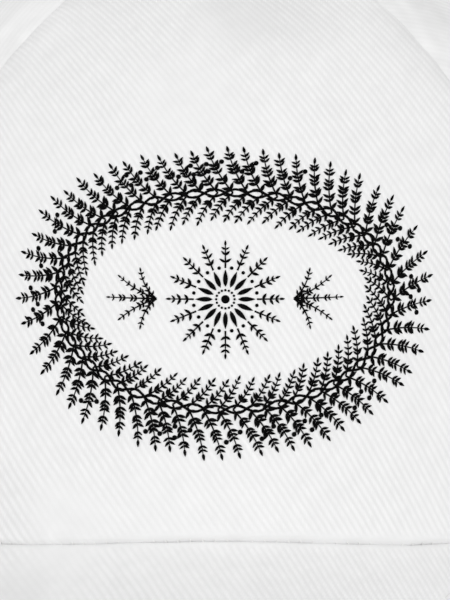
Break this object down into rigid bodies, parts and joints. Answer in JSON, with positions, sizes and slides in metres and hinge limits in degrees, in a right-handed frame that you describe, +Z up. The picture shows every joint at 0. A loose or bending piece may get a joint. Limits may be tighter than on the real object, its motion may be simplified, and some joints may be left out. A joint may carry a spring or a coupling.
{
  "type": "baseball cap",
  "caption": "White cotton cap with a domed crown, an arched peak, a printed leaf wreath on the front panel and a strap across the half-moon opening at the back.",
  "frame": {"origin": "on the table under the middle of the whole cap, half way between the peak's tip and the back of the strap", "axes": "+Z up, +Y towards the back of the cap, +X towards the wearer's left; the peak points along -Y"},
  "size_m": [0.176, 0.2664, 0.1348],
  "materials": {
    "drill": "bleached cotton twill, matt",
    "lining": "plain-woven stiffening cloth, matt",
    "tape": "narrow woven tape, matt",
    "band": "soft cotton twill band, matt",
    "thread": "spun sewing thread, slight sheen",
    "hook": "hook-and-loop tape, fuzzy",
    "print": "matt black transfer print on the cloth"
  },
  "bodies": {
    "root": {"front_panel": "drill", "front_lining": "lining", "side_panel_left": "drill", "side_panel_right": "drill", "back_panel_left": "drill", "back_panel_right": "drill", "visor": "drill", "top_button": "drill", "button_backing": "tape", "sweatband": "band", "seam_tape_front_left": "tape", "seam_tape_front_right": "tape", "seam_tape_side_left": "tape", "seam_tape_side_right": "tape", "seam_tape_back": "tape", "opening_binding": "tape", "strap_left": "drill", "strap_right": "hook", "eyelet_side_left": "thread", "eyelet_side_right": "thread", "eyelet_back_left": "thread", "eyelet_back_right": "thread"}
  },
  "joints": []
}
